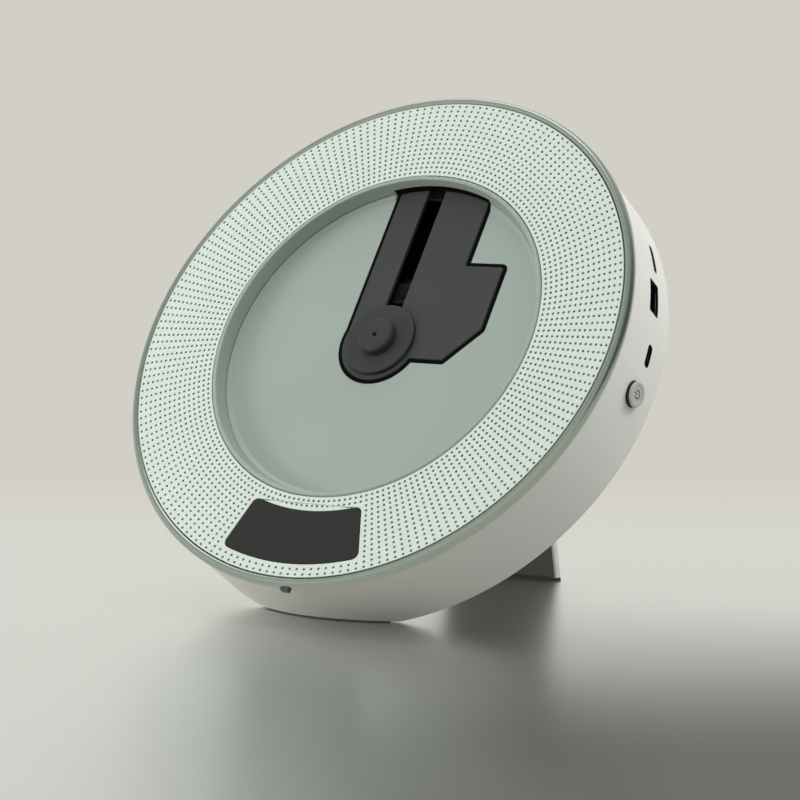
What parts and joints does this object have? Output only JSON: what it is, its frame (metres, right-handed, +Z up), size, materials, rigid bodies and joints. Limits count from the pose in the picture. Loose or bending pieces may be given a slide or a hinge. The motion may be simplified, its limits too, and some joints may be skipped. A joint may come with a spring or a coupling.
{
  "type": "compact disc player",
  "caption": "Round disc player leaning on a fold-out kickstand, with an open disc well, perforated speaker ring and side ports; it can hang on a wall.",
  "frame": {"origin": "on the table, under the middle of the player's width and depth with the kickstand open", "axes": "+X to the viewer's right when facing the disc well, +Y to the back, +Z up; the face leans back 34.7 degrees"},
  "size_m": [0.2162, 0.1536, 0.1918],
  "materials": {
    "shell_white": "smooth satin off-white",
    "bezel_grey": "glossy warm grey",
    "grille_white": "fine matt off-white",
    "cloth_grey": "woven dark green-grey",
    "window_dark": "smoked acrylic",
    "digits_dark": "unlit display block",
    "board_green": "solder-masked board",
    "well_grey": "matt grey",
    "baffle_grey": "matt",
    "gasket_black": "soft black foam",
    "cover_black": "fine-grained black",
    "turntable_black": "smooth black",
    "steel": "bright",
    "screw_steel": "zinc plated",
    "bronze": "sintered bronze",
    "motor_can": "plated can",
    "chassis_dark": "glass-filled black",
    "rubber_dark": "soft dark rubber",
    "rubber_grey": "firm grey rubber",
    "sled_black": "matt black",
    "magnet": "nickel plated",
    "lens_glass": "coated lens",
    "gear_white": "natural acetal",
    "cone_black": "coated paper",
    "tongue_white": "insulator",
    "battery_silver": "foil pouch in a sleeve",
    "button_grey": "satin grey",
    "stand_white": "satin off-white",
    "liner_dark": "soft dark pad"
  },
  "bodies": {
    "player": {"rear_housing": "shell_white", "outer_bezel": "bezel_grey", "speaker_grille": "grille_white", "acoustic_cloth": "cloth_grey", "display_window": "window_dark", "display_digits": "digits_dark", "display_board": "board_green", "baffle_ring": "baffle_grey", "disc_well": "well_grey", "pickup_cover": "cover_black", "cover_gasket": "gasket_black", "well_screws": "screw_steel", "cover_screws": "screw_steel", "rear_screws": "screw_steel", "spindle_bearing": "bronze", "spindle_motor": "motor_can", "mech_chassis": "chassis_dark", "chassis_dampers": "rubber_dark", "damper_screws": "screw_steel", "guide_rods": "steel", "gear_stud": "steel", "sled_motor": "motor_can", "speaker_frames": "motor_can", "speaker_cones": "cone_black", "main_board": "board_green", "board_screws": "screw_steel", "usb_a_socket": "steel", "usb_c_socket": "steel", "card_socket": "steel", "usb_a_tongue": "tongue_white", "usb_c_tongue": "sled_black", "power_switch": "sled_black", "battery_pack": "battery_silver", "kickstand_pin": "steel", "base_foot": "rubber_dark"},
    "turntable_unit": {"turntable": "turntable_black", "spindle_shaft": "steel"},
    "sled_unit": {"optical_sled": "sled_black", "lens_magnets": "magnet"},
    "lens_unit": {"lens_holder": "sled_black", "objective_lens": "lens_glass"},
    "drive_gear_unit": {"drive_gear": "gear_white"},
    "motor_shaft_unit": {"sled_motor_shaft": "steel", "motor_pinion": "bronze"},
    "button_unit": {"power_button": "button_grey", "switch_plunger": "tongue_white"},
    "stand_unit": {"kickstand": "stand_white", "kickstand_liner": "liner_dark", "kickstand_pad": "rubber_grey"}
  },
  "joints": [
    {"name": "turntable_spin", "type": "hinge", "parent": "player", "child": "turntable_unit", "pos_m": [0, -0.01247, 0.1015], "axis": [0, -0.8221, 0.5693], "continuous": true},
    {"name": "sled_slide", "type": "slide", "parent": "player", "child": "sled_unit", "axis": [0, 0.5693, 0.8221], "range_m": [0, 0.035]},
    {"name": "lens_focus", "type": "slide", "parent": "sled_unit", "child": "lens_unit", "axis": [0, -0.8221, 0.5693], "range_m": [-0.0004, 0.0004], "stiffness_N_per_m": 60},
    {"name": "drive_gear_spin", "type": "hinge", "parent": "player", "child": "drive_gear_unit", "pos_m": [0.0256, 0.00942, 0.11553], "axis": [0, -0.8221, 0.5693], "range_deg": [-560.04, 0]},
    {"name": "sled_motor_spin", "type": "hinge", "parent": "player", "child": "motor_shaft_unit", "pos_m": [0.03444, 0.00817, 0.10565], "axis": [0, -0.8221, 0.5693], "range_deg": [0, 2240.17]},
    {"name": "power_button_press", "type": "slide", "parent": "player", "child": "button_unit", "axis": [-0.9974, 0.0407, 0.0588], "range_m": [0, 0.0005], "stiffness_N_per_m": 1200},
    {"name": "kickstand_fold", "type": "hinge", "parent": "player", "child": "stand_unit", "pos_m": [0, 0.04787, 0.1333], "axis": [-1, 0, 0], "range_deg": [0, 46.3]}
  ],
  "couplings": [
    {"joint": "drive_gear_spin", "follows": "sled_slide", "rad_per_m": -277.78},
    {"joint": "sled_motor_spin", "follows": "sled_slide", "rad_per_m": 1111.1}
  ]
}
